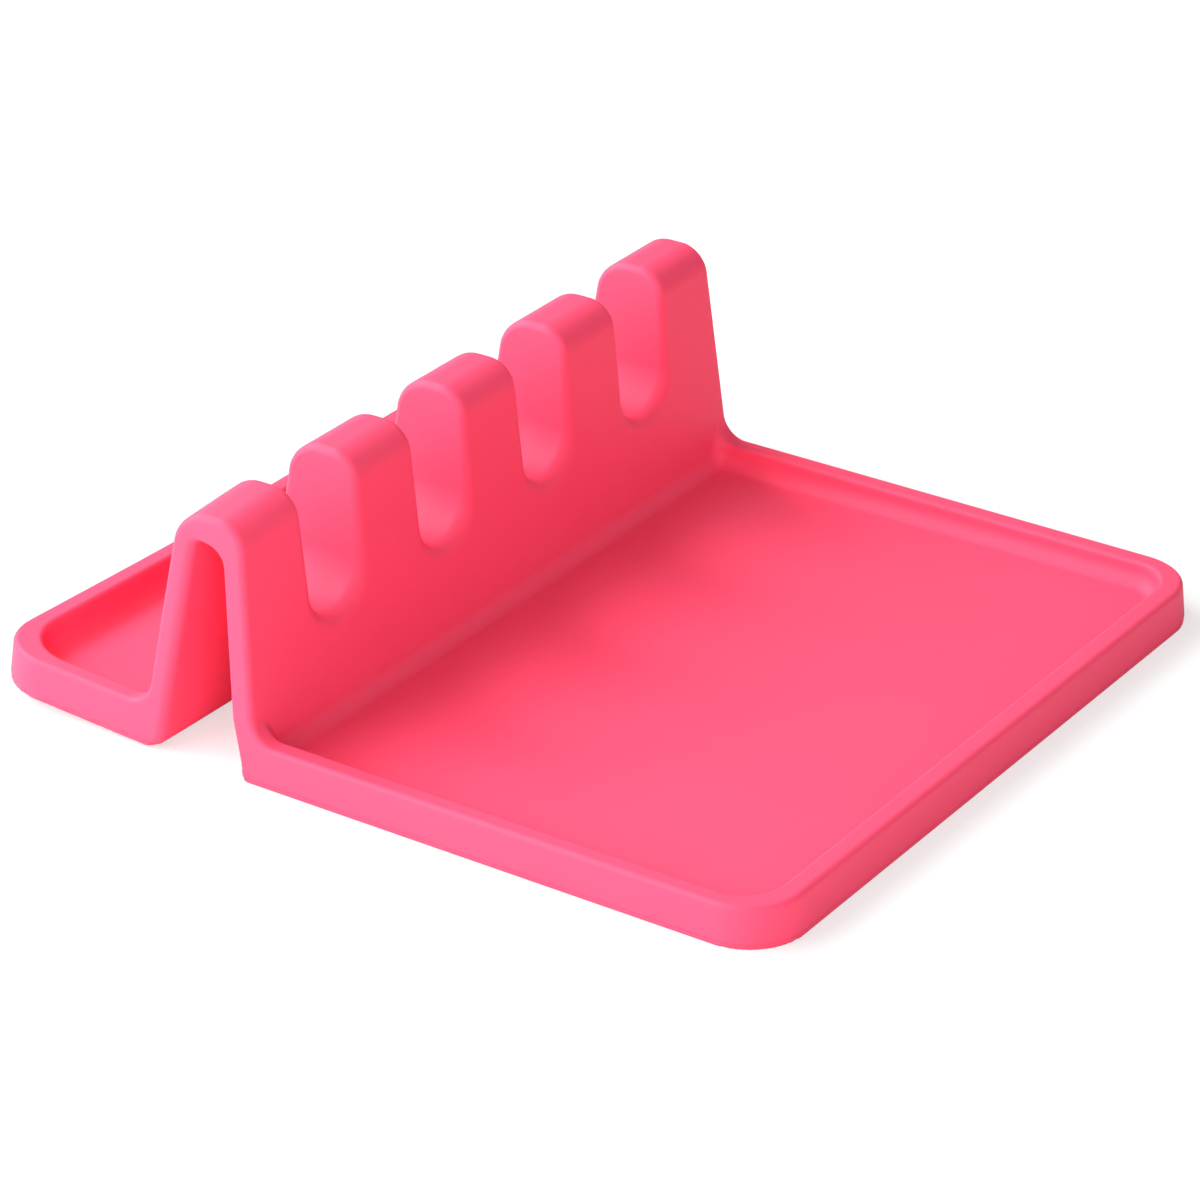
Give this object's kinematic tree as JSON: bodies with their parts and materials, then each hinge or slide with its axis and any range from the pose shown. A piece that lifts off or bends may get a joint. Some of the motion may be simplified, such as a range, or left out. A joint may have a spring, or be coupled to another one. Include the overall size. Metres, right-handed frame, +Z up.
{
  "type": "spoon rest",
  "caption": "One-piece silicone utensil rest: a notched hollow ridge holds spoon handles over a wide rimmed drip tray, with a narrow rimmed tray behind.",
  "frame": {"origin": "centre of the footprint, on the table", "axes": "+X along the ridge, -Y towards the front edge of the drip tray, +Z up"},
  "size_m": [0.16, 0.176, 0.0505],
  "materials": {
    "silicone": "soft satin moulded silicone, coral pink"
  },
  "bodies": {
    "root": {"drip_tray": "silicone", "notched_ridge": "silicone", "back_tray": "silicone"}
  },
  "joints": []
}
